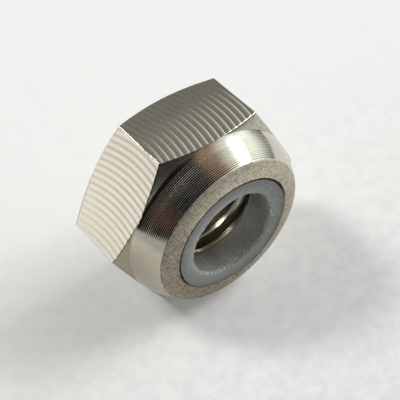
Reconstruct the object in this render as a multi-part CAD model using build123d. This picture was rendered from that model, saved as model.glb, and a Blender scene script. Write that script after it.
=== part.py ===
from build123d import *
from math import cos, radians, sqrt, tan
import os

# Prevailing torque hexagon nut for an M10 x 1.25 bolt. A turned steel body carries a
# polymer locking ring in a recess, and a lip rolled over the ring holds it there.
#
# The nut lies on one flat of its hexagon. Its thread axis is Y, its bearing face is the
# plane y = 0 and its ring end points to -Y. Each section is drawn in the XY plane, with
# X as the radius and -Y as the height above the bearing face, and is turned about Y.
# All sizes are in millimetres.

# Hexagon
across_flats = 17.0
hex_edge_radius = 0.1       # left by the bar on the six long edges
chamfer_angle = 24.0        # of the turned corner chamfers, from a square cut
bearing_inset = 0.7         # the bearing face stays this far inside the flats

# Thread, with its bore left plain at the minor diameter
thread_diameter = 10.0
thread_pitch = 1.25
countersink_angle = 120.0   # included
countersink_relief = 0.4    # past the thread, measured on the radius
thread_end_chamfer = 0.15   # where the bore opens into the recess

# Collar above the hexagon, and the lip rolled in from its rim
nut_height = 10.0           # bearing face to the top of the lip
collar_height = 3.09        # corner chamfers to the top of the lip
collar_overrun = 0.02       # the collar's foot is wider than the flats by this radius
collar_crown = 0.13         # how far its side bulges from a straight cone
collar_wall = 0.95          # outside the recess, at the rim
rim_drop = 0.43             # the rim lies this far below the top of the lip
lip_crown = 0.08
lip_reach = 0.67            # over the ring, and the radius that it is rolled to
lip_thickness = 0.38        # at its nose
lip_nose_radius = 0.12

# Locking ring
ring_room = 1.35            # thread to the wall of the recess
ring_height = 2.7
ring_setback = 0.05         # its face lies below the top of the lip
ring_clearance = 0.05       # to the recess and the lip
ring_bite = 0.2             # its bore is inside the thread's crests by this radius
ring_mouth_radius = 0.3
ring_foot_chamfer = 0.1
ring_face_edge_radius = 0.08

# Radii
flat_radius = across_flats / 2
corner_radius = across_flats / sqrt(3)
stock_radius = corner_radius + hex_edge_radius
bearing_radius = flat_radius - bearing_inset
thread_depth = thread_pitch * cos(radians(30)) * 5 / 8
minor_radius = thread_diameter / 2 - thread_depth
countersink_radius = thread_diameter / 2 + countersink_relief
recess_radius = thread_diameter / 2 + ring_room
foot_radius = flat_radius + collar_overrun
rim_radius = recess_radius + collar_wall
mouth_radius = recess_radius - lip_reach
ring_bore_radius = minor_radius - ring_bite

# Heights above the bearing face
foot_height = nut_height - collar_height
rim_height = nut_height - rim_drop
lip_under_height = nut_height - lip_thickness
lip_bend_height = lip_under_height - lip_reach
ring_face_height = nut_height - ring_setback
recess_floor_height = ring_face_height - ring_height
countersink_depth = (countersink_radius - minor_radius) / tan(radians(countersink_angle / 2))
lower_chamfer_height = (stock_radius - bearing_radius) * tan(radians(chamfer_angle))
upper_chamfer_height = foot_height - (stock_radius - foot_radius) * tan(radians(chamfer_angle))


def at(radius, height):
    """A point of a section, from its radius and its height above the bearing face."""
    return Vector(radius, -height)


def crowned(start, end, crown):
    """An arc between two points that stands proud of its chord, away from the body."""
    chord = end - start
    outward = Vector(-chord.Y, chord.X).normalized()
    return ThreePointArc(start, (start + end) * 0.5 + outward * crown, end)


def quarter(start, end, centre):
    """A quarter circle from one point to another."""
    reach = (start - centre).length
    middle = ((start + end) * 0.5 - centre).normalized() * reach
    return ThreePointArc(start, centre + middle, end)


# Body: the turned section, cut to the hexagon
with BuildPart() as nut_body:
    with BuildSketch() as turned_section:
        with BuildLine():
            Polyline(
                at(minor_radius, countersink_depth),
                at(countersink_radius, 0),
                at(bearing_radius, 0),
                at(stock_radius, lower_chamfer_height),
                at(stock_radius, upper_chamfer_height),
                at(foot_radius, foot_height),
            )
            crowned(at(foot_radius, foot_height), at(rim_radius, rim_height), collar_crown)
            lip_top = at(mouth_radius + lip_nose_radius, nut_height)
            lip_nose = at(mouth_radius, nut_height - lip_nose_radius)
            crowned(at(rim_radius, rim_height), lip_top, lip_crown)
            quarter(lip_top, lip_nose, at(lip_top.X, -lip_nose.Y))
            Line(lip_nose, at(mouth_radius, lip_under_height))
            quarter(
                at(mouth_radius, lip_under_height),
                at(recess_radius, lip_bend_height),
                at(mouth_radius, lip_bend_height),
            )
            Polyline(
                at(recess_radius, lip_bend_height),
                at(recess_radius, recess_floor_height),
                at(minor_radius + thread_end_chamfer, recess_floor_height),
                at(minor_radius, recess_floor_height - thread_end_chamfer),
                at(minor_radius, countersink_depth),
            )
        make_face()
    revolve(axis=Axis.Y)
    with BuildSketch(Plane.XZ) as hexagon:
        RegularPolygon(flat_radius, 6, major_radius=False)
        fillet(hexagon.vertices(), hex_edge_radius)
    extrude(amount=nut_height, mode=Mode.INTERSECT)

# Ring: follows the recess and the rolled lip, with its face level with the lip's mouth
with BuildPart() as nylon_ring:
    with BuildSketch() as ring_section:
        with BuildLine():
            ring_radius = recess_radius - ring_clearance
            face_radius = mouth_radius - ring_clearance
            shoulder_height = lip_under_height - ring_clearance
            mouth_start = at(ring_bore_radius, ring_face_height - ring_mouth_radius)
            mouth_end = at(ring_bore_radius + ring_mouth_radius, ring_face_height)
            face_end = at(face_radius - ring_face_edge_radius, ring_face_height)
            side_start = at(face_radius, ring_face_height - ring_face_edge_radius)
            Polyline(
                mouth_start,
                at(ring_bore_radius, recess_floor_height + ring_foot_chamfer),
                at(ring_bore_radius + ring_foot_chamfer, recess_floor_height),
                at(ring_radius - ring_foot_chamfer, recess_floor_height),
                at(ring_radius, recess_floor_height + ring_foot_chamfer),
                at(ring_radius, lip_bend_height),
            )
            quarter(
                at(ring_radius, lip_bend_height),
                at(mouth_radius, shoulder_height),
                at(mouth_radius, lip_bend_height),
            )
            Polyline(at(mouth_radius, shoulder_height), at(face_radius, shoulder_height), side_start)
            quarter(side_start, face_end, at(face_end.X, -side_start.Y))
            Line(face_end, mouth_end)
            quarter(mouth_end, mouth_start, at(mouth_end.X, -mouth_start.Y))
        make_face()
    revolve(axis=Axis.Y)

os.makedirs("parts", exist_ok=True)
for name, piece in {"nut_body": nut_body, "nylon_ring": nylon_ring}.items():
    export_step(piece.part, f"parts/{name}.step")
    print(name, round(piece.part.volume, 2), "mm3, valid:", piece.part.is_valid)
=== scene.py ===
from math import atan, atan2, ceil, cos, floor, hypot, pi, radians, sin, sqrt, tan

import bpy
import numpy as np
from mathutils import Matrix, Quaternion, Vector, noise


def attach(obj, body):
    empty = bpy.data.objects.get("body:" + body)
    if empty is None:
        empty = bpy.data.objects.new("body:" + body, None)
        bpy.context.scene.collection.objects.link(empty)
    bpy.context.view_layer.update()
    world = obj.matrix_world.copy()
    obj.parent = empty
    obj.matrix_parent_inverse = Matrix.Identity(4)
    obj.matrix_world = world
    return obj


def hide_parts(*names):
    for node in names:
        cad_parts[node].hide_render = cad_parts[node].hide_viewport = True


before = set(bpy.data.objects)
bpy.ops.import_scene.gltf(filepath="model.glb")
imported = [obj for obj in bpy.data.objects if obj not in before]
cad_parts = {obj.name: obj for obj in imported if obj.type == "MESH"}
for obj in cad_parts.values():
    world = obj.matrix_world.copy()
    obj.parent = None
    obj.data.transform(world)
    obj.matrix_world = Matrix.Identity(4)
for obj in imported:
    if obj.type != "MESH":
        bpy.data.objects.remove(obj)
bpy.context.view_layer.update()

# A prevailing torque hexagon nut, lying on one flat of its hexagon. The thread axis is Y, the
# bearing face is the plane y = 0 and the ring end points to -Y. Sizes are in millimetres and
# go through MM into metres. A height is measured from the bearing face, along -Y, and an angle
# is measured about the axis, from +X towards +Z.
MM = 0.001


# ---- Camera ----
# A hand-held close-up: the lens is 85 mm from the nut and looks down at its ring end.
camera_azimuth = radians(-39.30)
camera_elevation = radians(47.07)
camera_roll = radians(1.19)
camera_distance = 85.0
camera_target = Vector((0.253, -5.086, -0.057))
sensor_width = 36.0
focal_length = 88.19


def direction(azimuth, elevation):
    """The unit vector to a place in the room. Azimuth 0 is -Y and 90 degrees is +X."""
    level = cos(elevation)
    return Vector((sin(azimuth) * level, -cos(azimuth) * level, sin(elevation)))


def place(name, data):
    """Puts a new object with this data into the scene."""
    placed = bpy.data.objects.new(name, data)
    bpy.context.scene.collection.objects.link(placed)
    return placed


to_camera = direction(camera_azimuth, camera_elevation)
lens = bpy.data.cameras.new("close_up_camera")
lens.sensor_width = sensor_width
lens.lens = focal_length
lens.clip_start = 1 * MM
lens.clip_end = 5000 * MM
camera = place("close_up_camera", lens)
camera.location = (camera_target + to_camera * camera_distance) * MM
camera.rotation_mode = "QUATERNION"
camera.rotation_quaternion = to_camera.to_track_quat("Z", "Y") @ Quaternion((0, 0, 1), camera_roll)
bpy.context.scene.camera = camera


# ---- Steel body ----
# The body is stainless steel, turned from hexagon bar: faced, chamfered, bored out for the ring
# and tapped. Its flats are milled, and its thin lip is rolled inwards over the ring. All of it
# is one piece of metal, so it is one closed mesh, with a finish for each operation.
flat_radius = 8.5
flat_angle = radians(60)        # that one flat takes up, about the axis
hex_edge_radius = 0.1
chamfer_slope = tan(radians(24))
bearing_radius = 7.8
nut_height = 10.0
foot = (8.52, 6.91)             # radius and height where the collar meets the chamfers
rim = (7.3, 9.57)               # and where its side meets the lip
collar_crown = 0.13
lip_crown = 0.08
mouth_radius = 5.68
lip_nose_radius = 0.12
recess_radius = 6.35
lip_bend_height = 8.95
recess_floor_height = 7.25
countersink_radius = 5.4
countersink_depth = 0.6216
thread_end_chamfer = 0.15

thread_pitch = 1.25
crest_radius = 4.3234
root_radius = 5.0
crest_half = 1 / 8              # half of the flat on a crest, as a share of the pitch
root_half = 1 / 16
crest_round = ((-0.03, 0), (0.02, 0.09))        # past the edge of that flat, and depth
root_round = ((-0.05, 0.86), (0, 0.97))
thread_start = (radians(-60), 5.72)     # angle and height of the middle of a crest
spare_turns = 2                 # of rows past each end of the bore, which all lie on the end
end_snap = 0.02                 # and so does a row that is this close to the end

edge_rounding = 0.075           # where a cutter left an edge between flat and chamfer
edge_waves = (25, 0.5)          # how often that varies round the nut, and by what share
widest_rounding = 0.45          # of the distance to the next corner, so that two never meet
rim_rounding = 0.28
foot_bead = (0.045, 0.012)      # width and height of the burr that the turning tool left at the foot
bead_shape = ((1.5, 0), (1, 0), (0.7, 0.8), (0.3, 0.8), (0, 0))     # shares of those two
lip_waves = ((4, 0.02), (25, 0.035))    # how often the rolled edge wanders, and how far

# The face cutter crossed each flat in arcs, and left a shallow scallop at each step of its feed.
arc_spacing = 0.597
arc_radius = 10.5
arc_top_height = 4.2            # where the cutter's path runs straight along the axis
arc_depth = 0.018
scallop = ((0, 0.24), (0.15, 0), (0.52, 1), (1, 0.24))      # shares of a step, and levels

flat_columns = 96               # of the mesh, across one flat
edge_columns = 6                # and round one long edge
flat_rows = 24                  # along one flat
flat_margins = (1.6, 1.5)       # from its two ends to the nearest of those rows, in edge roundings
collar_rows = 12
lip_rows = 8
nose_rows = 5
bend_rows = 6
rim_rows = 6
edge_rows = 3
weld_digits = 5                 # points that agree to so many decimals are one vertex
steel_sharp_angle = radians(35)
large_face_weight = 100         # in the normals, so that the flats look even up to their edges


def arc(start, end, crown, steps):
    """Points from start to end, along a curve that stands outside its chord by crown."""
    chord = hypot(end[0] - start[0], end[1] - start[1])
    outward = np.array((start[1] - end[1], end[0] - start[0])) / chord
    shares = np.linspace(0, 1, steps + 1)
    return [tuple(np.array(start) * (1 - s) + np.array(end) * s + outward * 4 * crown * s * (1 - s))
            for s in shares]


def quarter(centre, radius, first, last, steps):
    """Points round a centre, between two angles in degrees."""
    turns = np.radians(np.linspace(first, last, steps + 1))
    return [(centre[0] + radius * cos(turn), centre[1] + radius * sin(turn)) for turn in turns]


def rounded(before, corner, after, reach, steps):
    """Points that round a corner, from reach before it to reach after it."""
    corner = np.array(corner)
    sides = [np.array(neighbour) - corner for neighbour in (before, after)]
    start, end = [corner + side * min(reach / max(np.linalg.norm(side), reach), widest_rounding)
                  for side in sides]
    return [tuple(start * (1 - s) ** 2 + corner * 2 * s * (1 - s) + end * s ** 2)
            for s in np.linspace(0, 1, steps + 1)]


def on_circle(angle):
    """The place of an angle in a noise that closes on itself round the nut."""
    return Vector((cos(angle), 0, sin(angle)))


# One pitch of the thread, from a crest: shares of the pitch, and depths from crest 0 to root 1.
# The tap leaves a small round on the crests' edges and in the roots.
half_pitch = [(0, 0)] + [(crest_half + past, depth) for past, depth in crest_round]
half_pitch += [(0.5 - root_half + past, depth) for past, depth in root_round]
thread_profile = half_pitch + [(0.5, 1)] + [(1 - share, depth) for share, depth in half_pitch[:0:-1]]
thread_shares, thread_depths = zip(*thread_profile, (1, 0))
rows_per_pitch = len(thread_profile)
first_turn = floor(-thread_start[1] / thread_pitch) - spare_turns
last_turn = ceil((recess_floor_height - thread_start[1]) / thread_pitch) + spare_turns


def bore_radius(height, angle):
    """The tapped bore, with its countersink and its chamfered far end."""
    share = ((height - thread_start[1]) / thread_pitch - (angle - thread_start[0]) / (2 * pi)) % 1
    depth = np.interp(share, thread_shares, thread_depths)
    countersink = countersink_radius - height * (countersink_radius - crest_radius) / countersink_depth
    far_end = crest_radius + thread_end_chamfer + height - recess_floor_height
    return max(crest_radius + (root_radius - crest_radius) * depth, countersink, far_end)


def tapped_run(angle):
    """The bore's section at one angle. Its rows climb with the thread and stop at its two ends."""
    points = []
    for turn in range(first_turn, last_turn + 1):
        for share, _ in thread_profile:
            climb = (angle - thread_start[0]) / (2 * pi) + turn + share
            height = thread_start[1] + thread_pitch * climb
            height = 0 if height < end_snap else height
            height = recess_floor_height if height > recess_floor_height - end_snap else height
            points.append((bore_radius(height, angle), height))
    return points


def rolled_run(angle):
    """The recess and the lip over it, as far as the rim. The lip's edge is slightly uneven."""
    uneven = sum(reach * noise.noise(on_circle(angle) * often) for often, reach in lip_waves)
    nose = (mouth_radius + lip_nose_radius + uneven, nut_height - lip_nose_radius)
    return (
        [(recess_radius, recess_floor_height), (recess_radius, lip_bend_height)]
        + quarter((mouth_radius, lip_bend_height), recess_radius - mouth_radius, 0, 90, bend_rows)[1:]
        + quarter(nose, lip_nose_radius, 180, 90, nose_rows)
        + arc((nose[0], nut_height), rim, lip_crown, lip_rows)[1:-1]
    )


def milled_depth(angle, height):
    """How far the face cutter went below a flat at this place."""
    across = flat_radius * tan(angle % flat_angle - flat_angle / 2)
    path = across - (height - arc_top_height) ** 2 / (2 * arc_radius)
    return arc_depth * (1 - np.interp(path / arc_spacing % 1, *zip(*scallop)))


def from_long_edge(angle):
    """The angle to the nearest of the hexagon's six long edges."""
    return abs((angle + flat_angle / 2) % flat_angle - flat_angle / 2)


edge_half_angle = flat_angle / 2 - atan((flat_radius - hex_edge_radius) * tan(flat_angle / 2) / flat_radius)


def hexagon_radius(angle):
    """From the axis to the hexagon, whose long edges are slightly rounded."""
    from_edge = from_long_edge(angle)
    edge_centre = (flat_radius - hex_edge_radius) / cos(flat_angle / 2)
    if from_edge > edge_half_angle:
        return flat_radius / cos(flat_angle / 2 - from_edge)
    return edge_centre * cos(from_edge) + sqrt(hex_edge_radius ** 2 - (edge_centre * sin(from_edge)) ** 2)


collar = arc(foot, rim, -collar_crown, collar_rows)[::-1]
up_collar = np.array(collar[-2]) - foot
up_collar /= np.linalg.norm(up_collar)
off_collar = np.array((up_collar[1], -up_collar[0]))
bead = [tuple(foot + up_collar * foot_bead[0] * width + off_collar * foot_bead[1] * level)
        for width, level in bead_shape]


def outer_runs(angle):
    """The section outside the rim: the collar, then a chamfer, a flat and the bearing end. In its
    middle a flat cuts away the foot of the collar, with its bead and the chamfer."""
    full_reach = hexagon_radius(angle)
    on_flat = from_long_edge(angle) > edge_half_angle

    def reach(height):
        return full_reach * (1 - milled_depth(angle, height) / flat_radius if on_flat else 1)

    top = reach(foot[1] - (full_reach - foot[0]) * chamfer_slope)
    if top > foot[0]:
        side = [(min(radius, full_reach), height) for radius, height in collar[1:-1] + bead]
        upper = (top, foot[1] - (top - foot[0]) * chamfer_slope)
        before = side[-1]
    else:
        upper = (top, float(np.interp(top, *zip(*collar))))
        side = [point if point[0] < top else upper for point in collar[1:-1]] + [upper] * len(bead)
        before = rim
    low = reach((full_reach - bearing_radius) * chamfer_slope)
    lower = (low, (low - bearing_radius) * chamfer_slope)
    bearing_edge = (bearing_radius, 0)
    often, share = edge_waves
    wander = edge_rounding * (1 + share * noise.noise(on_circle(angle) * often))
    chamfer = rounded(before, upper, lower, wander, edge_rows)
    levels = np.linspace(upper[1] - flat_margins[0] * edge_rounding,
                         lower[1] + flat_margins[1] * edge_rounding, flat_rows)
    milled = [(reach(height), float(height)) for height in levels]
    faced = (
        rounded(upper, lower, bearing_edge, edge_rounding, edge_rows)
        + rounded(lower, bearing_edge, (countersink_radius, 0), edge_rounding, edge_rows)
        + [(countersink_radius, 0)]
    )
    return side, chamfer, milled, faced


angles = []
for flat in range(6):
    start = radians(60 * flat)
    angles += list(start + np.linspace(-edge_half_angle, edge_half_angle, edge_columns, endpoint=False))
    flat_start = start + edge_half_angle
    flat_width = flat_angle - 2 * edge_half_angle
    angles += list(flat_start + np.linspace(0, flat_width, flat_columns, endpoint=False))

columns = []
for angle in angles:
    tapped = tapped_run(angle)
    rolled = rolled_run(angle)
    turned, chamfer, milled, faced = outer_runs(angle)
    rolled += rounded(rolled[-1], rim, collar[1], rim_rounding, rim_rows)
    runs = [("tapped", tapped), ("rolled", rolled), ("turned", turned), ("faced", chamfer),
            ("milled", milled), ("faced", faced)]
    columns.append([point for _, run in runs for point in run])
finish_of_station = [finish for finish, run in runs for _ in run]
finishes = ["milled", "turned", "faced", "rolled", "tapped"]


def joined(columns, angles, wrap_rows, shifted, finish_of_station):
    """Vertices, faces and each face's finish. The last column meets the first one, and there the
    first stations, as many as shifted, meet those that lie wrap_rows further on."""
    vertices, faces, face_finishes, index_of = [], [], [], {}

    def vertex(column, station):
        if column == len(columns):
            column = 0
            station = min(station + wrap_rows, shifted - 1) if station < shifted else station
        radius, height = columns[column][station]
        point = (radius * cos(angles[column]), -height, radius * sin(angles[column]))
        key = tuple(round(value, weld_digits) for value in point)
        if key not in index_of:
            index_of[key] = len(vertices)
            vertices.append(tuple(value * MM for value in point))
        return index_of[key]

    stations = len(columns[0])
    for column in range(len(columns)):
        for station in range(stations):
            after = (station + 1) % stations
            corners = [vertex(column, station), vertex(column, after),
                       vertex(column + 1, after), vertex(column + 1, station)]
            ring = [corner for index, corner in enumerate(corners) if corner != corners[index - 1]]
            if len(set(ring)) == len(ring) and len(ring) > 2:
                faces.append(ring)
                face_finishes.append(finish_of_station[after])
    return vertices, faces, face_finishes


def smooth_mesh(name, vertices, faces, sharp_angle):
    """A mesh that is smooth, apart from the edges that bend by more than the sharp angle."""
    mesh = bpy.data.meshes.new(name)
    mesh.from_pydata(vertices, [], faces)
    mesh.shade_smooth()
    mesh.set_sharp_from_angle(angle=sharp_angle)
    return mesh


vertices, faces, face_finishes = joined(columns, angles, rows_per_pitch, len(tapped), finish_of_station)
steel_mesh = smooth_mesh("steel_body", vertices, faces, steel_sharp_angle)
steel_mesh.polygons.foreach_set("material_index", [finishes.index(finish) for finish in face_finishes])
steel_body = place("steel_body", steel_mesh)
weighting = steel_body.modifiers.new("even_flats", "WEIGHTED_NORMAL")
weighting.keep_sharp = True
weighting.weight = large_face_weight


def linear(colour):
    """An sRGB hex colour as the linear values that a shader takes."""
    parts = [int(colour[start:start + 2], 16) / 255 for start in (1, 3, 5)]
    return [part / 12.92 if part <= 0.04045 else ((part + 0.055) / 1.055) ** 2.4 for part in parts] + [1]


def add_node(tree, kind, inputs=(), **settings):
    """Adds a node with its settings. Its inputs come in the order of its sockets, or in a dict by
    their names or numbers. Each is a number, a colour, another node's output, or another node,
    which stands for its first output. A Mix node takes its two colours at 6 and 7, and gives its
    colour at 2."""
    node = tree.nodes.new(kind)
    for name, value in settings.items():
        setattr(node, name, value)
    for name, value in inputs.items() if isinstance(inputs, dict) else enumerate(inputs):
        value = value.outputs[0] if isinstance(value, bpy.types.Node) else value
        if isinstance(value, bpy.types.NodeSocket):
            tree.links.new(value, node.inputs[name])
        else:
            node.inputs[name].default_value = value
    return node


def new_material(name):
    """An empty material, and its node tree."""
    material = bpy.data.materials.new(name)
    material.use_nodes = True
    material.node_tree.nodes.clear()
    return material, material.node_tree


def nut_places(tree):
    """Where a point is on the nut, in millimetres: the point, its radius, height and angle."""
    coordinates = add_node(tree, "ShaderNodeTexCoord").outputs["Object"]
    point = add_node(tree, "ShaderNodeVectorMath", {0: coordinates, "Scale": 1 / MM}, operation="SCALE")
    parts = add_node(tree, "ShaderNodeSeparateXYZ", [point])
    flattened = add_node(tree, "ShaderNodeVectorMath", (point, (1, 0, 1)), operation="MULTIPLY")
    radius = add_node(tree, "ShaderNodeVectorMath", [flattened], operation="LENGTH").outputs["Value"]
    height = add_node(tree, "ShaderNodeMath", (parts.outputs["Y"], -1), operation="MULTIPLY")
    angle = add_node(tree, "ShaderNodeMath", (parts.outputs["Z"], parts.outputs["X"]), operation="ARCTAN2")
    return point, radius, height, angle


# Milled stainless steel: satin, with a fine grain drawn out along the cutter's arcs. Metal smeared
# along the crest of each step makes it steeper towards the collar, so the arcs there are brighter.
steel_colour = "#d1cec1"
milled_roughness = 0.21
burr_shares = (0.15, 0.46, 0.85)        # of a step: where the burr starts, is tallest and ends
burr_growth = (1.8, 6.0)        # heights on the nut between which it grows taller
burr_height = (0.0, 0.048)      # at those two places
burr_seed = 214                 # picks how tall it is on each flat
streak_width = 0.05             # of one streak of the grain, across the arcs
streak_length = 1.2
streak_depth = 0.006
streak_jump = 7                 # in the noise, from one flat to the next
milled_material, tree = new_material("milled_stainless_steel")
_, radius, height, angle = nut_places(tree)
turn = add_node(tree, "ShaderNodeMath", (angle, flat_angle), operation="DIVIDE")
share = add_node(tree, "ShaderNodeMath", [turn], operation="FRACT")
flat_number = add_node(tree, "ShaderNodeMath", [turn], operation="FLOOR")
local_angle = add_node(tree, "ShaderNodeMath", (share, flat_angle, -flat_angle / 2), operation="MULTIPLY_ADD")
sine = add_node(tree, "ShaderNodeMath", [local_angle], operation="SINE")
across = add_node(tree, "ShaderNodeMath", (sine, radius), operation="MULTIPLY")
below_top = add_node(tree, "ShaderNodeMath", (height, arc_top_height), operation="SUBTRACT")
squared = add_node(tree, "ShaderNodeMath", (below_top, 2), operation="POWER")
path = add_node(tree, "ShaderNodeMath", (squared, -1 / (2 * arc_radius), across), operation="MULTIPLY_ADD")
step = add_node(tree, "ShaderNodeMath", (path, 1 / arc_spacing), operation="MULTIPLY")
step_share = add_node(tree, "ShaderNodeMath", [step], operation="FRACT")
rise = add_node(tree, "ShaderNodeMapRange", (step_share, burr_shares[0], burr_shares[1]))
fall = add_node(tree, "ShaderNodeMapRange", (step_share, burr_shares[2], burr_shares[1]))
fall = add_node(tree, "ShaderNodeMath", (fall, 2), operation="POWER")
burr = add_node(tree, "ShaderNodeMath", (rise, fall), operation="MINIMUM")
tallest = add_node(tree, "ShaderNodeMapRange", (height, *burr_growth, *burr_height))
flat_seed = add_node(tree, "ShaderNodeMath", (flat_number, burr_seed), operation="ADD")
bluntness = add_node(tree, "ShaderNodeTexWhiteNoise", {"W": flat_seed}, noise_dimensions="1D")
tallest = add_node(tree, "ShaderNodeMath", (tallest, bluntness), operation="MULTIPLY")
burr = add_node(tree, "ShaderNodeMath", (burr, tallest), operation="MULTIPLY")
streak_place = add_node(tree, "ShaderNodeCombineXYZ", (path, height, flat_number))
streak_scale = (1 / streak_width, 1 / streak_length, streak_jump)
streak_place = add_node(tree, "ShaderNodeVectorMath", (streak_place, streak_scale), operation="MULTIPLY")
streaks = add_node(tree, "ShaderNodeTexNoise", {"Vector": streak_place, "Scale": 1, "Detail": 2,
                                                "Roughness": 0.6})
relief = add_node(tree, "ShaderNodeMath", (streaks, streak_depth, burr), operation="MULTIPLY_ADD")
bump = add_node(tree, "ShaderNodeBump", {"Height": relief, "Distance": MM})
shader = add_node(tree, "ShaderNodeBsdfPrincipled", {
    "Base Color": linear(steel_colour), "Metallic": 1, "Roughness": milled_roughness, "Normal": bump})
add_node(tree, "ShaderNodeOutputMaterial", {"Surface": shader})

# Turned stainless steel: nearly a mirror, but each step of the tool's feed left a shallow groove and
# a crest that wore dull, which cut reflections into fine lines. It is smooth just above the foot,
# where the tool passed twice, and its colour is darker in patches towards its left.
turned_roughness = 0.12
feed = 0.153
feed_start = 0.075
grooves_start = (0.26, 0.38)    # along the side, from the foot: none yet, and all there
deepest_at = 1.1                # also along the side
groove_depth = (0.003, 0.0115)  # where they are all there, and where they are deepest
groove_strengths = (0.75, 1.1)  # of the faintest groove and of the strongest
crest_roughness = 0.65
widest_at = 1.5
crest_share = (0.2, 0.34)       # of a groove that is worn dull, in the same way
crest_edge = (1.0, 1.2)         # of a groove's rise plus that share: still bright, and dull
darkened_colour = "#c0b9a9"
darkened_side = radians(195)
darkening_size = 0.9                 # of its patches
darkening_patchiness = 0.4
darkening_edge = (0.85, 1.1)         # of the patches plus the nearness to that side: not darker, and darkest
turned_material, tree = new_material("turned_stainless_steel")


def towards(tree, angle, side):
    """How near an angle is to one side of the nut: 1 is there and -1 is opposite."""
    from_side = add_node(tree, "ShaderNodeMath", (angle, side), operation="SUBTRACT")
    return add_node(tree, "ShaderNodeMath", [from_side], operation="COSINE")


def left_darkening(tree, point, angle):
    """How much darker a place is, from 0 to 1: most towards one side, and in patches."""
    patches = add_node(tree, "ShaderNodeTexNoise", {"Vector": point, "Scale": 1 / darkening_size, "Detail": 3})
    near = towards(tree, angle, darkened_side)
    how_dark = add_node(tree, "ShaderNodeMath", (patches, darkening_patchiness, near), operation="MULTIPLY_ADD")
    return add_node(tree, "ShaderNodeMapRange", (how_dark, *darkening_edge))


point, radius, height, angle = nut_places(tree)
side_slope = Vector((rim[0] - foot[0], rim[1] - foot[1])).normalized()
from_foot = add_node(tree, "ShaderNodeMath", (height, foot[1]), operation="SUBTRACT")
from_foot = add_node(tree, "ShaderNodeMath", (from_foot, side_slope.y), operation="MULTIPLY")
inwards = add_node(tree, "ShaderNodeMath", (radius, foot[0]), operation="SUBTRACT")
along = add_node(tree, "ShaderNodeMath", (inwards, side_slope.x, from_foot), operation="MULTIPLY_ADD")
groove = add_node(tree, "ShaderNodeMath", (along, feed_start), operation="SUBTRACT")
groove = add_node(tree, "ShaderNodeMath", (groove, feed), operation="DIVIDE")
groove_share = add_node(tree, "ShaderNodeMath", [groove], operation="FRACT")
groove_number = add_node(tree, "ShaderNodeMath", [groove], operation="FLOOR")
from_middle = add_node(tree, "ShaderNodeMath", (groove_share, 2, -1), operation="MULTIPLY_ADD")
bowl = add_node(tree, "ShaderNodeMath", (from_middle, 2), operation="POWER")
ruled = add_node(tree, "ShaderNodeMapRange", (along, *grooves_start))
chance = add_node(tree, "ShaderNodeTexWhiteNoise", {"W": groove_number}, noise_dimensions="1D")
strength = add_node(tree, "ShaderNodeMapRange", (chance, 0, 1, *groove_strengths))
deeper = add_node(tree, "ShaderNodeMapRange", (along, grooves_start[1], deepest_at, *groove_depth))
depth = add_node(tree, "ShaderNodeMath", (ruled, strength), operation="MULTIPLY")
depth = add_node(tree, "ShaderNodeMath", (depth, deeper), operation="MULTIPLY")
worn = add_node(tree, "ShaderNodeMapRange", (along, grooves_start[1], widest_at, *crest_share))
crest = add_node(tree, "ShaderNodeMath", (bowl, worn), operation="ADD")
crest = add_node(tree, "ShaderNodeMapRange", (crest, *crest_edge))
crest = add_node(tree, "ShaderNodeMath", (crest, ruled), operation="MULTIPLY")
crest = add_node(tree, "ShaderNodeMath", (crest, strength), operation="MULTIPLY")
relief = add_node(tree, "ShaderNodeMath", (bowl, depth), operation="MULTIPLY")
bump = add_node(tree, "ShaderNodeBump", {"Height": relief, "Distance": MM})
roughness = add_node(tree, "ShaderNodeMapRange", (crest, 0, 1, turned_roughness, crest_roughness))
darkening = left_darkening(tree, point, angle)
colour = add_node(tree, "ShaderNodeMix", {0: darkening, 6: linear(steel_colour), 7: linear(darkened_colour)},
                  data_type="RGBA")
shader = add_node(tree, "ShaderNodeBsdfPrincipled", {
    "Base Color": colour.outputs[2], "Metallic": 1, "Roughness": roughness, "Normal": bump})
add_node(tree, "ShaderNodeOutputMaterial", {"Surface": shader})

# Faced stainless steel: the chamfers and the bearing face are cut with a finer feed, so they are
# even and softly bright, with a slight drag of the tool. The same darkening towards the left is
# deeper here, and the chamfers have small dark pits on two sides.
faced_roughness = 0.27
drag_width = 0.06
drag_depth = 0.0012
deeply_darkened_colour = "#a39b8b"
pit_colour = "#6b6456"
pit_size = 0.1
pitted_sides = (radians(182), radians(45))
pitted_reach = 0.7              # how near to one of them the first pits are
pit_limits = (0.2, 0.44)        # of the noise, where there are few and where there are most
pit_edge = 0.08                 # of the noise, from the rim of a pit to its dark floor
faced_material, tree = new_material("faced_stainless_steel")
point, radius, _, angle = nut_places(tree)
drag = add_node(tree, "ShaderNodeTexNoise", {"W": radius, "Scale": 1 / drag_width, "Detail": 2},
                noise_dimensions="1D")
pits = add_node(tree, "ShaderNodeTexNoise", {"Vector": point, "Scale": 1 / pit_size, "Detail": 2,
                                             "Roughness": 0.6})
near_sides = [towards(tree, angle, side) for side in pitted_sides]
nearest_side = add_node(tree, "ShaderNodeMath", near_sides, operation="MAXIMUM")
pit_limit = add_node(tree, "ShaderNodeMapRange", (nearest_side, pitted_reach, 1, *pit_limits))
pitted = add_node(tree, "ShaderNodeMath", (pit_limit, pits), operation="SUBTRACT")
pitted = add_node(tree, "ShaderNodeMapRange", (pitted, 0, pit_edge))
darkening = left_darkening(tree, point, angle)
colour = add_node(tree, "ShaderNodeMix", {0: darkening, 6: linear(steel_colour), 7: linear(deeply_darkened_colour)},
                  data_type="RGBA")
colour = add_node(tree, "ShaderNodeMix", {0: pitted, 6: colour.outputs[2], 7: linear(pit_colour)},
                  data_type="RGBA")
bump = add_node(tree, "ShaderNodeBump", {"Height": drag, "Distance": drag_depth * MM})
shader = add_node(tree, "ShaderNodeBsdfPrincipled", {
    "Base Color": colour.outputs[2], "Metallic": 1, "Roughness": faced_roughness, "Normal": bump})
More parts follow.
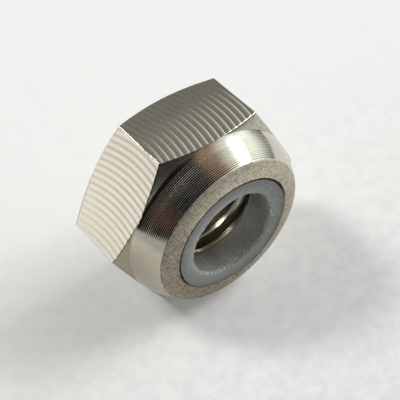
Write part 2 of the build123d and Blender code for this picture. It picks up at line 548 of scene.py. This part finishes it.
add_node(tree, "ShaderNodeOutputMaterial", {"Surface": shader})

# Rolled stainless steel: the roller leaves the lip dull and sandy, with dark specks in its pits.
# Painted shade darkens it and its specks at the lower left, a painted highlight brightens its top,
# and painted shade blackens it along the gap at the ring.
rolled_colour = "#d8d2c0"
rolled_roughness = 0.58
grit = 0.07                     # the size of one grain
grit_depth = 0.06
grit_strength = (0.55, 1.0)     # on the side of the painted highlight, and on the side of the painted shade
pits_in_grain = 0.6
mottles_in_grain = 0.2
mottle_share = 0.28             # of the coarse mottle that is added to the pits
speck_edge = (0.495, 0.71)      # of pits and mottle together: dark speck, and plain metal
speck_colour = "#736b5d"
palest_speck = 0.32             # on the lit side, as a share of the way to plain metal
# Painted shade, on the side away from the window:
lip_shade_side = radians(225)
lip_shade_reach = -0.45             # how near to that side the painted shade starts
lip_shade_colour = "#bfb5a2"
shaded_speck_colour = "#574c3f"
# Painted highlight, on the side towards the window:
painted_highlight_side = radians(85)
painted_highlight_reach = 0.2
painted_highlight_colour = "#f8f0dc"
gap_shade_colour = "#352f28"          # of the painted shade in the gap
gap_shade_side = radians(112)
gap_shade_edge = (-0.35, 0.1)         # how near to that side there is no painted shade, and all of it
lip_gap_shade = (5.84, 5.77, 0.12)       # radii where it ends and is thickest, and how ragged it is
rolled_material, tree = new_material("rolled_stainless_steel")


def painted_gap_shade(tree, mottle, radius, angle, unshaded_radius, shaded_radius, raggedness):
    """How much painted shade a place at the gap has, from 0 to 1. The shade has a ragged edge and is
    strongest on one side of the nut."""
    edge = add_node(tree, "ShaderNodeMath", (mottle, raggedness, radius), operation="MULTIPLY_ADD")
    near_gap = add_node(tree, "ShaderNodeMapRange", (edge, unshaded_radius + raggedness / 2,
                                                     shaded_radius + raggedness / 2))
    gathered = add_node(tree, "ShaderNodeMapRange", (towards(tree, angle, gap_shade_side), *gap_shade_edge))
    return add_node(tree, "ShaderNodeMath", (near_gap, gathered), operation="MULTIPLY")


point, radius, _, angle = nut_places(tree)
pits = add_node(tree, "ShaderNodeTexNoise", {"Vector": point, "Scale": pits_in_grain / grit, "Detail": 3,
                                             "Roughness": 0.8})
mottle = add_node(tree, "ShaderNodeTexNoise", {"Vector": point, "Scale": mottles_in_grain / grit,
                                               "Detail": 2})
mottled = add_node(tree, "ShaderNodeMath", (mottle, mottle_share, pits), operation="MULTIPLY_ADD")
# Painted shade towards the lower left darkens the metal and its specks and makes the grit stronger; a painted
# highlight lightens the top.
shade_and_grit = add_node(tree, "ShaderNodeMapRange", (towards(tree, angle, lip_shade_side), lip_shade_reach))
darkest = add_node(tree, "ShaderNodeMapRange", (shade_and_grit, 0, 1, palest_speck, 0))
shade = add_node(tree, "ShaderNodeMapRange", (mottled, *speck_edge, darkest))
painted_highlight = add_node(tree, "ShaderNodeMapRange", (towards(tree, angle, painted_highlight_side), painted_highlight_reach))
colour = add_node(tree, "ShaderNodeMix", {0: painted_highlight, 6: linear(rolled_colour), 7: linear(painted_highlight_colour)},
                  data_type="RGBA")
colour = add_node(tree, "ShaderNodeMix", {0: shade_and_grit, 6: colour.outputs[2], 7: linear(lip_shade_colour)},
                  data_type="RGBA")
specks = add_node(tree, "ShaderNodeMix", {0: shade_and_grit, 6: linear(speck_colour), 7: linear(shaded_speck_colour)},
                  data_type="RGBA")
colour = add_node(tree, "ShaderNodeMix", {0: shade, 6: specks.outputs[2], 7: colour.outputs[2]},
                  data_type="RGBA")
# Painted shade along the gap between the lip and the ring.
gap_shading = painted_gap_shade(tree, mottle, radius, angle, *lip_gap_shade)
colour = add_node(tree, "ShaderNodeMix", {0: gap_shading, 6: colour.outputs[2], 7: linear(gap_shade_colour)},
                  data_type="RGBA")
sandy = add_node(tree, "ShaderNodeMapRange", (shade_and_grit, 0, 1, *grit_strength))
bump = add_node(tree, "ShaderNodeBump", {"Height": pits, "Distance": grit_depth * MM, "Strength": sandy})
shader = add_node(tree, "ShaderNodeBsdfPrincipled", {
    "Base Color": colour.outputs[2], "Metallic": 1, "Roughness": rolled_roughness, "Normal": bump})
add_node(tree, "ShaderNodeOutputMaterial", {"Surface": shader})

# Tapped stainless steel: the tap burnished the thread. Its oil turns the crests yellowish, and
# the colour is darker towards the roots.
tapped_colour = "#d2cab6"
root_colour = "#878075"
tapped_roughness = 0.27
tapped_material, tree = new_material("tapped_stainless_steel")
_, radius, _, _ = nut_places(tree)
rootwards = add_node(tree, "ShaderNodeMapRange", (radius, crest_radius, root_radius))
colour = add_node(tree, "ShaderNodeMix", {0: rootwards, 6: linear(tapped_colour), 7: linear(root_colour)},
                  data_type="RGBA")
shader = add_node(tree, "ShaderNodeBsdfPrincipled", {
    "Base Color": colour.outputs[2], "Metallic": 1, "Roughness": tapped_roughness})
add_node(tree, "ShaderNodeOutputMaterial", {"Surface": shader})

for material in (milled_material, turned_material, faced_material, rolled_material, tapped_material):
    steel_mesh.materials.append(material)
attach(steel_body, "root")
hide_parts("nut_body")


# ---- Locking ring ----
# The ring is grey nylon 6.6, moulded, pressed into the recess and held by the rolled lip. Its
# bore is smaller than the thread's crests, and the first bolt cuts its own thread in it.
ring_bore_radius = 4.1234
ring_outer_radius = 6.3
ring_face_radius = 5.64
ring_face_height = 9.95
ring_shoulder_height = 9.57
ring_mouth_radius = 0.3
ring_face_edge_radius = 0.08
ring_foot_chamfer = 0.1
bore_waves = (3, 0.02)          # how often the moulded bore wanders, and how far
mouth_waves = (5, 0.3)          # and its rounded mouth, as a share of its radius
scuff_height = 0.16             # of the tallest burr that a bolt has torn up
scuff_lean = 0.7                # of that, which it leans inwards and also stands up
scuff_size = 0.28
scuff_fractal = (0.7, 2.1, 3)   # its dimension, lacunarity and octaves
scuff_places = 3                # round the mouth, where bolts leaned on it
scuff_side = radians(-108)      # where one of them is
scuff_limit = 0.335             # of the fractal, above which the mouth is torn
scuff_swing = 0.27              # how much lower that is at those places, and higher between
scuff_steepness = 2.5
ring_columns = 720
mouth_rows = 20
bore_rows = (7.6, 8)            # height of the first, and how many
face_rows = (4.75, 5.45, 5)     # radii of the first and last, and how many
face_edge_rows = 4
ring_sharp_angle = radians(50)


def ring_bore(angle):
    """The radius of the ring's bore and of its rounded mouth, which a moulding never holds exactly."""
    bore, mouth = [reach * noise.noise(on_circle(angle) * often)
                   for often, reach in (bore_waves, mouth_waves)]
    return ring_bore_radius + bore, ring_mouth_radius * (1 + mouth)


def scuff(radius, height, angle):
    """How far the mouth is torn up here, from 0 to 1. Most of it is at the places that bolts leaned on."""
    bore, mouth = ring_bore(angle)
    along_mouth = min(max((height - ring_face_height + mouth) / mouth, 0), 1)
    from_bore = min(max((bore + mouth - radius) / mouth, 0), 1)
    point = Vector((radius * cos(angle), height, radius * sin(angle)))
    leaned_on = scuff_swing * cos(scuff_places * (angle - scuff_side))
    torn = noise.fractal(point / scuff_size, *scuff_fractal) - scuff_limit + leaned_on
    return min(max(torn, 0) * scuff_steepness, 1) * sqrt(along_mouth * from_bore)


sections = []
ring_angles = [2 * pi * column / ring_columns for column in range(ring_columns)]
for angle in ring_angles:
    bore, mouth = ring_bore(angle)
    mouth_run = []
    for radius, height in quarter((bore + mouth, ring_face_height - mouth), mouth, 180, 90, mouth_rows):
        lift = scuff_height * scuff_lean * scuff(radius, height, angle)
        below_face = height < ring_face_height - scuff_height   # so no burr stands above the face
        mouth_run.append((radius - lift, height + lift * below_face))
    bore_heights = np.linspace(bore_rows[0], ring_face_height - mouth, bore_rows[1])
    section = (
        [(bore, recess_floor_height + ring_foot_chamfer)]
        + [(bore, float(height)) for height in bore_heights]
        + mouth_run[1:]
        + [(float(radius), ring_face_height) for radius in np.linspace(*face_rows)]
        + quarter((ring_face_radius - ring_face_edge_radius, ring_face_height - ring_face_edge_radius),
                  ring_face_edge_radius, 90, 0, face_edge_rows)
        + [(ring_face_radius, ring_shoulder_height)]
        + quarter((mouth_radius, lip_bend_height), ring_outer_radius - mouth_radius, 90, 0, bend_rows)
        + [(ring_outer_radius, recess_floor_height + ring_foot_chamfer),
           (ring_outer_radius - ring_foot_chamfer, recess_floor_height),
           (ring_bore_radius + ring_foot_chamfer, recess_floor_height)]
    )
    sections.append(section)
vertices, faces, _ = joined(sections, ring_angles, 0, 0, ["nylon"] * len(section))
ring_mesh = smooth_mesh("locking_ring", vertices, faces, ring_sharp_angle)
torn_up = ring_mesh.attributes.new("torn_up", "FLOAT", "POINT")
torn_up.data.foreach_set("value", [scuff(hypot(x, z) / MM, -y / MM, atan2(z, x)) for x, y, z in vertices])
locking_ring = place("locking_ring", ring_mesh)

# Moulded grey nylon: translucent, so light creeps through it and no part of it is quite dark.
# Where bolts have scratched or torn it, and where its face was rubbed, it turns whitish and opaque.
# Its bore is paler and more opaque towards one side, partly whitened where bolts stretched it and
# partly a painted glow for the light that the lit thread throws there. Painted shade darkens its
# edge at the gap.
nylon_colour = "#9fa3a1"
nylon_roughness = 0.24
nylon_ior = 1.53
nylon_mottles = 2.2             # in a millimetre
nylon_relief = 0.05
glow_depth = 6.0                # how far light travels in it
glow_shares = (0.9, 0.1)        # of the light, where it is clear and where it is opaque
stretched_glow_colour = "#f6f8f7"      # of the bore where bolts stretched it, and painted glow of the thread's light there
stretched_glow_side = radians(-52)
stretched_glow_reach = (0.7, 0.97)     # how near to that side it is plain, and palest
stretched_glow_heights = (10.3, 8.6)   # where it is plain, and palest
cloud_height = 1.5              # by which a soft mottle shifts those
stretched_glow_opacity = 0.7
torn_colour = "#eef1f1"
torn_roughness = 0.08
scratch_width = 0.09            # of the pale scratches round the bore
scratch_length = 0.5
scratch_edge = (0.55, 0.85)     # of the noise: plain, and scratched
fleck_size = 0.16               # of the pale flecks, which are thickest at the mouth
fleck_heights = (7.8, 9.6)
fleck_limits = (0.8, 0.65)      # of the noise at those heights
worn_side = radians(-5)         # where the face was rubbed
worn_reach = (0.2, 0.9)         # how near to that side it is plain, and most worn
worn_share = 0.45               # of its whitest, there
wear_size = 0.35                # of one rubbed patch
wear_edge = (0.52, 0.7)         # of the noise: plain, and rubbed
ring_gap_shade = (5.55, 5.6, 0.1)        # radii where it ends and is thickest, and how ragged it is
nylon_material, tree = new_material("moulded_grey_nylon")
point, radius, height, angle = nut_places(tree)
mottle = add_node(tree, "ShaderNodeTexNoise", {"Vector": point, "Scale": nylon_mottles, "Detail": 4,
                                               "Roughness": 0.6})
bump = add_node(tree, "ShaderNodeBump", {"Height": mottle, "Distance": nylon_relief * MM})
torn = add_node(tree, "ShaderNodeAttribute", attribute_name="torn_up").outputs["Fac"]
# Painted glow, partly real whitening from stretching: the bore is paler towards one side and deeper in.
cloudy = add_node(tree, "ShaderNodeMath", (mottle, cloud_height, height), operation="MULTIPLY_ADD")
stretched_glow = add_node(tree, "ShaderNodeMapRange", (cloudy, *stretched_glow_heights))
stretched_glow_part = add_node(tree, "ShaderNodeMapRange", (towards(tree, angle, stretched_glow_side), *stretched_glow_reach))
stretched_glow = add_node(tree, "ShaderNodeMath", (stretched_glow, stretched_glow_part), operation="MULTIPLY")
round_bore = add_node(tree, "ShaderNodeMath", (angle, ring_bore_radius / scratch_length),
                      operation="MULTIPLY")
scratch_place = add_node(tree, "ShaderNodeCombineXYZ", (round_bore, height, radius))
scratch_scale = (1, 1 / scratch_width, 1 / scratch_width)
scratch_place = add_node(tree, "ShaderNodeVectorMath", (scratch_place, scratch_scale), operation="MULTIPLY")
scratches = add_node(tree, "ShaderNodeTexNoise", {"Vector": scratch_place, "Scale": 1, "Detail": 3})
scratched = add_node(tree, "ShaderNodeMapRange", (scratches, *scratch_edge))
flecks = add_node(tree, "ShaderNodeTexNoise", {"Vector": point, "Scale": 1 / fleck_size, "Detail": 1})
fleck_limit = add_node(tree, "ShaderNodeMapRange", (height, *fleck_heights, *fleck_limits))
flecked = add_node(tree, "ShaderNodeMath", (flecks, fleck_limit), operation="GREATER_THAN")
scratched = add_node(tree, "ShaderNodeMath", (scratched, flecked), operation="MAXIMUM")
in_bore = add_node(tree, "ShaderNodeMapRange", (radius, ring_bore_radius + ring_mouth_radius,
                                                ring_bore_radius))
scratched = add_node(tree, "ShaderNodeMath", (scratched, in_bore), operation="MULTIPLY")
wear = add_node(tree, "ShaderNodeTexNoise", {"Vector": point, "Scale": 1 / wear_size, "Detail": 4,
                                             "Roughness": 0.7})
worn_part = add_node(tree, "ShaderNodeMapRange", (towards(tree, angle, worn_side), *worn_reach,
                                                  0, worn_share))
worn = add_node(tree, "ShaderNodeMapRange", (wear, *wear_edge))
worn = add_node(tree, "ShaderNodeMath", (worn, worn_part), operation="MULTIPLY")
whitened = add_node(tree, "ShaderNodeMath", (scratched, worn), operation="MAXIMUM")
whitened = add_node(tree, "ShaderNodeMath", (torn, whitened), operation="MAXIMUM")
colour = add_node(tree, "ShaderNodeMix", {0: stretched_glow, 6: linear(nylon_colour), 7: linear(stretched_glow_colour)},
                  data_type="RGBA")
colour = add_node(tree, "ShaderNodeMix", {0: whitened, 6: colour.outputs[2], 7: linear(torn_colour)},
                  data_type="RGBA")
# Painted shade along the gap between the ring and the lip.
gap_shading = painted_gap_shade(tree, mottle, radius, angle, *ring_gap_shade)
colour = add_node(tree, "ShaderNodeMix", {0: gap_shading, 6: colour.outputs[2], 7: linear(gap_shade_colour)},
                  data_type="RGBA")
opaque = add_node(tree, "ShaderNodeMath", (stretched_glow, stretched_glow_opacity), operation="MULTIPLY")
opaque = add_node(tree, "ShaderNodeMath", (opaque, whitened), operation="MAXIMUM")
opaque = add_node(tree, "ShaderNodeMath", (opaque, gap_shading), operation="MAXIMUM")
translucent = add_node(tree, "ShaderNodeMapRange", (opaque, 0, 1, *glow_shares))
roughness = add_node(tree, "ShaderNodeMapRange", (torn, 0, 1, nylon_roughness, torn_roughness))
shader = add_node(tree, "ShaderNodeBsdfPrincipled", {
    "Base Color": colour.outputs[2], "Roughness": roughness, "IOR": nylon_ior, "Normal": bump,
    "Subsurface Weight": translucent, "Subsurface Radius": (1, 1, 1), "Subsurface Scale": glow_depth * MM})
add_node(tree, "ShaderNodeOutputMaterial", {"Surface": shader})
ring_mesh.materials.append(nylon_material)
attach(locking_ring, "root")
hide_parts("nylon_ring")


# ---- Paper and light ----
# The nut lies on a sheet of white paper on a dark desk. A window on the right and a lamp behind on
# the left light it, and the room in front is dark. The paper is matt, with painted shade that greys
# its near left corner and its front, and its fibres show as a faint mottle.
paper_corners = ((-92, -60), (30, -60), (75, -400), (225, -400), (225, 600), (-45, 600), (-45, 14), (-92, 2))
paper_gap = 0.005               # under the flat that the nut lies on
paper_level = -flat_radius - paper_gap
paper_colour = "#f3f4f6"
paper_roughness = 0.9
shade_colour = "#c4c5c6"
corner_direction = (-1, -0.9, 0)        # to the shaded corner
corner_reach = (31, 58)         # how far that way the shade starts, and is full
front_reach = (-20, 60)         # and how far to the front
front_shade = 0.45              # of the full shade
fibre_scale = 0.7               # of the fibres' noise, in a millimetre
fibre_middle = 0.5              # of its range
fibre_reach = (-15, 15)         # from behind the nut to its front
fibre_shade = (0.35, 1.1)       # at those two places
even_shade = 0.07               # that the whole sheet has
paper_glow = (0.16, 0.185)      # near and far, seen by the lens and in the metal, and giving no light
glow_direction = (0.8, 1, 0)    # from near to far
glow_reach = (3, 35)
paper_mesh = bpy.data.meshes.new("paper")
paper_mesh.from_pydata([(x * MM, y * MM, paper_level * MM) for x, y in paper_corners], [],
                       [range(len(paper_corners))])
paper = place("paper", paper_mesh)
paper_material, tree = new_material("matt_white_paper")
point, _, forwards, _ = nut_places(tree)
# Painted shade: the sheet greys towards its near left corner and towards its front, where less light falls.
cornerwards = add_node(tree, "ShaderNodeVectorMath", (point, corner_direction), operation="DOT_PRODUCT")
corner = add_node(tree, "ShaderNodeMapRange", (cornerwards.outputs["Value"], *corner_reach),
                  interpolation_type="SMOOTHSTEP")
front = add_node(tree, "ShaderNodeMapRange", (forwards, *front_reach, 0, front_shade),
                 interpolation_type="SMOOTHSTEP")
shade = add_node(tree, "ShaderNodeMath", (corner, front), operation="MAXIMUM")
fibre = add_node(tree, "ShaderNodeTexNoise", {"Vector": point, "Scale": fibre_scale, "Detail": 4,
                                              "Roughness": 0.7})
fibre = add_node(tree, "ShaderNodeMath", (fibre, fibre_middle), operation="SUBTRACT")
fibre_strength = add_node(tree, "ShaderNodeMapRange", (forwards, *fibre_reach, *fibre_shade))
fibre = add_node(tree, "ShaderNodeMath", (fibre, fibre_strength, even_shade), operation="MULTIPLY_ADD")
shade = add_node(tree, "ShaderNodeMath", (fibre, shade), operation="ADD")
colour = add_node(tree, "ShaderNodeMix", {0: shade, 6: linear(paper_colour), 7: linear(shade_colour)},
                  data_type="RGBA")
rays = add_node(tree, "ShaderNodeLightPath")
seen = add_node(tree, "ShaderNodeMath", (rays.outputs["Is Camera Ray"], rays.outputs["Is Glossy Ray"]),
                operation="MAXIMUM")
away = add_node(tree, "ShaderNodeVectorMath", (point, glow_direction), operation="DOT_PRODUCT")
far = add_node(tree, "ShaderNodeMapRange", (away.outputs["Value"], *glow_reach, *paper_glow))
glow = add_node(tree, "ShaderNodeMath", (seen, far), operation="MULTIPLY")
shader = add_node(tree, "ShaderNodeBsdfPrincipled", {
    "Base Color": colour.outputs[2], "Roughness": paper_roughness, "Emission Color": linear(paper_colour),
    "Emission Strength": glow})
add_node(tree, "ShaderNodeOutputMaterial", {"Surface": shader})
paper_mesh.materials.append(paper_material)

# Each patch of light has its place, as azimuth and elevation, how far from there it is full and
# where it has faded, in degrees, and its colour and strength.
room_patches = (
    (71, 42, 4, 9, "#ffffff", 12.0),        # the two panes of the window on the right
    (88, 42, 4, 9, "#ffffff", 12.0),
    (79, 37, 5, 38, "#f8fff8", 1.28),       # and the bright wall round it
    (120, 22, 5, 21, "#fffdf6", 0.68),      # and the end of that wall
    (97, 8, 12, 30, "#f4faf2", 0.44),       # the pale wall under it
    (219, 48, 4, 9, "#fffef8", 25.0),       # a shaded lamp behind on the left
    (223, 32, 20, 34, "#fffdf8", 0.35),     # and the wall under it
    (177, 49, 0, 44, "#fffdf6", 0.29),      # and the wall beside it
    (-128, -5, 16, 28, "#fffaf6", 0.515),   # a pale cupboard on the left
    (-128, -14, 12, 17, "#fffaf7", 0.9),    # and the light on its foot
    (60, 73, 7, 22, "#d8ab90", 0.56),       # wood overhead
    (-75, 18, 6, 20, "#c08463", 0.18),      # brown cloth on the left
    (5, -9, 15, 30, "#d6c0b4", 0.03),       # and the dark desk in front
)
room_colour = "#0f0f0e"
backdrop_colour = "#f0f0ef"     # that the lens sees past the paper
right_horizon = (-1.1, -0.3)    # degrees between which the room on the right fades to nothing
world = bpy.data.worlds.new("room")
bpy.context.scene.world = world
world.use_nodes = True
tree = world.node_tree
tree.nodes.clear()
gaze = add_node(tree, "ShaderNodeTexCoord").outputs["Generated"]
total = linear(room_colour)[:3]
for azimuth, elevation, full, faded, colour, strength in room_patches:
    middle = direction(radians(azimuth), radians(elevation))
    facing = add_node(tree, "ShaderNodeVectorMath", (gaze, middle), operation="DOT_PRODUCT")
    cosines = (cos(radians(faded)), cos(radians(full)))
    patch = add_node(tree, "ShaderNodeMapRange", (facing.outputs["Value"], *cosines, 0, strength),
                     interpolation_type="SMOOTHSTEP")
    light = add_node(tree, "ShaderNodeVectorMath", {0: linear(colour)[:3], "Scale": patch}, operation="SCALE")
    total = add_node(tree, "ShaderNodeVectorMath", (light, total), operation="ADD")
gaze_parts = add_node(tree, "ShaderNodeSeparateXYZ", [gaze])
on_right = add_node(tree, "ShaderNodeMath", (gaze_parts.outputs["X"], 0), operation="GREATER_THAN")
edges = [sin(radians(edge)) for edge in right_horizon]
above = add_node(tree, "ShaderNodeMapRange", (gaze_parts.outputs["Z"], *edges))
below = add_node(tree, "ShaderNodeMath", (above, 1), operation="SUBTRACT")
shaded = add_node(tree, "ShaderNodeMath", (below, on_right, 1), operation="MULTIPLY_ADD")
total = add_node(tree, "ShaderNodeVectorMath", {0: total, "Scale": shaded}, operation="SCALE")
room = add_node(tree, "ShaderNodeBackground", {"Color": total, "Strength": 1})
backdrop = add_node(tree, "ShaderNodeBackground", {"Color": linear(backdrop_colour), "Strength": 1})
rays = add_node(tree, "ShaderNodeLightPath")
shown = add_node(tree, "ShaderNodeMixShader", (rays.outputs["Is Camera Ray"], room, backdrop))
add_node(tree, "ShaderNodeOutputWorld", {"Surface": shown})

bpy.context.scene.view_settings.view_transform = "Standard"
